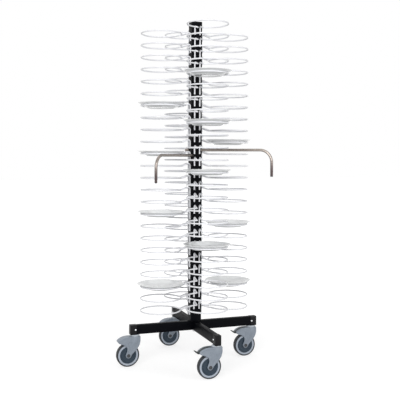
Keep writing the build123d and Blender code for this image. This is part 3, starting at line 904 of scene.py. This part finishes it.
def pedal_solid():
    """One brake lever about its castor's stem, in its raised place."""
    bm = bmesh.new()
    near = [bm.verts.new((x * mm, -pedal_half_width, z * mm)) for x, z in pedal_points]
    bm.faces.new(near)
    soften(bm, near, 1.0 * mm, segments=2, affect="VERTICES")
    grown = bmesh.ops.extrude_face_region(bm, geom=bm.faces[:])["geom"]
    far = [part for part in grown if isinstance(part, bmesh.types.BMVert)]
    bmesh.ops.translate(bm, verts=far, vec=(0, 2 * pedal_half_width, 0))
    bmesh.ops.recalc_face_normals(bm, faces=bm.faces)
    side_edges = [e for e in bm.edges if abs(e.verts[0].co.y - e.verts[1].co.y) < 0.01 * mm]
    soften(bm, side_edges, 0.9 * mm, segments=2)
    # the tongue is wider past the hood's nose
    for vert in bm.verts:
        past = max(0.0, min(1.0, (tongue_start - vert.co.x) / tongue_flare))
        vert.co.y *= 1.0 + past * (tongue_half_width / pedal_half_width - 1.0)
    return bm


dull_zinc = coated("dull_zinc_pin", (0.22, 0.24, 0.27, 1.0), (0.28, 0.30, 0.33, 1.0),
                   roughness=(0.42, 0.55), grain_scale=1800.0, relief=0.02 * mm, cloud_scale=60.0,
                   metallic=1.0)
pivot = Matrix.Translation((-10.0 * mm, 0, 151.0 * mm))
pin_head_radius = 3.4 * mm
pin_depth = 1.6 * mm
pin_outline = [
    (0.0, 0.5 * mm),
    (pin_head_radius - 0.9 * mm, 0.4 * mm),
    (pin_head_radius, -0.2 * mm),
    (pin_head_radius, -pin_depth),
    (0.0, -pin_depth),
]
for side in braked_sides:
    at_spot = Matrix.Translation(castor_spots[side])
    pedal = piece("foot_brake_pedal_" + side, moved(pedal_solid(), at_spot), pedal_grey)
    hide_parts("brake_pedal_" + side)
    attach(pedal, "pedal_" + side)
    pins_mesh = bmesh.new()
    for facing in (0.0, math.pi):
        turn_over = Matrix.Rotation(facing, 4, "Z")
        outward = Matrix.Translation((0, -fork_half_width, 0)) @ Matrix.Rotation(math.pi / 2, 4, "X")
        join(pins_mesh, moved(turned_outline(pin_outline, steps=24), turn_over @ outward))
    pins = piece("pedal_pivot_pins_" + side, moved(pins_mesh, at_spot @ pivot), dull_zinc)
    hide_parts("pedal_pins_" + side)
    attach(pins, "fork_" + side)

# ------------------------------------------------------------------ floor, light and camera
# The cart stands on a plain white studio floor under soft light, seen from chest height and a
# little to the left of its front, as in the photo.
floor_half = 30.0
floor_mesh = bmesh.new()
bmesh.ops.create_grid(floor_mesh, x_segments=1, y_segments=1, size=floor_half)
floor = bpy.data.objects.new("studio_floor", bpy.data.meshes.new("studio_floor"))
floor_mesh.to_mesh(floor.data)
floor_mesh.free()
bpy.context.scene.collection.objects.link(floor)
floor_white = bpy.data.materials.new("studio_floor_white")
floor_white.use_nodes = True
floor_nodes, floor_links = floor_white.node_tree.nodes, floor_white.node_tree.links
floor_shader = floor_nodes["Principled BSDF"]
floor_shader.inputs["Base Color"].default_value = (0.38, 0.38, 0.38, 1.0)
floor_shader.inputs["Roughness"].default_value = 0.9
floor_shader.inputs["Specular IOR Level"].default_value = 0.1


def background_rays(nodes, links):
    """1 for the rays that show the background: the camera's, glossy and transmission rays."""
    path = nodes.new("ShaderNodeLightPath")
    total = path.outputs["Is Camera Ray"]
    for kind in ("Is Glossy Ray", "Is Transmission Ray"):
        both = nodes.new("ShaderNodeMath")
        both.operation = "MAXIMUM"
        links.new(total, both.inputs[0])
        links.new(path.outputs[kind], both.inputs[1])
        total = both.outputs["Value"]
    return total


# the floor is lifted to white, wholly so away from the cart, where its grey would show a seam
floor_place = floor_nodes.new("ShaderNodeTexCoord")
floor_far = floor_nodes.new("ShaderNodeVectorMath")
floor_far.operation = "LENGTH"
floor_links.new(floor_place.outputs["Object"], floor_far.inputs[0])
floor_lift = floor_nodes.new("ShaderNodeMapRange")
for socket, value in (("From Min", 0.7), ("From Max", 2.2), ("To Min", 0.70), ("To Max", 1.0)):
    floor_lift.inputs[socket].default_value = value
floor_links.new(floor_far.outputs["Value"], floor_lift.inputs["Value"])
floor_glow = floor_nodes.new("ShaderNodeMath")
floor_glow.operation = "MULTIPLY"
floor_links.new(floor_lift.outputs["Result"], floor_glow.inputs[0])
floor_links.new(background_rays(floor_nodes, floor_links), floor_glow.inputs[1])
floor_shader.inputs["Emission Color"].default_value = (1.0, 1.0, 1.0, 1.0)
floor_links.new(floor_glow.outputs["Value"], floor_shader.inputs["Emission Strength"])
floor.data.materials.append(floor_white)

studio = bpy.data.worlds.new("studio")
studio.use_nodes = True
bpy.context.scene.world = studio
studio_nodes, studio_links = studio.node_tree.nodes, studio.node_tree.links
studio_nodes.clear()
room = studio_nodes.new("ShaderNodeBackground")
room.inputs["Color"].default_value = (1.0, 1.0, 1.0, 1.0)
strength = studio_nodes.new("ShaderNodeMapRange")
strength.inputs["To Min"].default_value = 0.50
strength.inputs["To Max"].default_value = 1.0
studio_links.new(background_rays(studio_nodes, studio_links), strength.inputs["Value"])
studio_links.new(strength.outputs["Result"], room.inputs["Strength"])
sky = studio_nodes.new("ShaderNodeOutputWorld")
studio_links.new(room.outputs["Background"], sky.inputs["Surface"])


def softbox(name, place, aim, size, power):
    """A square soft lamp of the given side and power, turned towards a point."""
    light = bpy.data.lights.new(name, "AREA")
    light.shape = "SQUARE"
    light.size = size
    light.energy = power
    lamp = bpy.data.objects.new(name, light)
    bpy.context.scene.collection.objects.link(lamp)
    lamp.location = place
    lamp.rotation_euler = (Vector(aim) - Vector(place)).to_track_quat("-Z", "Y").to_euler()


softbox("key_softbox", (-2.4, -3.8, 2.5), (0, 0, 0.9), size=2.8, power=150.0)
softbox("fill_softbox", (2.8, -3.2, 1.6), (0, 0, 0.9), size=2.4, power=55.0)
softbox("top_softbox", (0.2, 1.6, 4.2), (0, 0, 0.8), size=3.0, power=18.0)

camera_distance = 4.006
camera_height = 1.1345
camera_turn = math.radians(19.38)
camera_tilt = math.radians(-0.22)
camera_data = bpy.data.cameras.new("photo_camera")
camera_data.sensor_width = 36.0
camera_data.lens = 64.55
camera_data.shift_x = 0.0125
camera_data.shift_y = -0.108
camera = bpy.data.objects.new("photo_camera", camera_data)
camera.location = (
    post_x - camera_distance * math.sin(camera_turn),
    -camera_distance * math.cos(camera_turn),
    camera_height,
)
camera.rotation_euler = (math.pi / 2, camera_tilt, -camera_turn)
bpy.context.scene.collection.objects.link(camera)
bpy.context.scene.camera = camera
bpy.context.scene.view_settings.view_transform = "Standard"
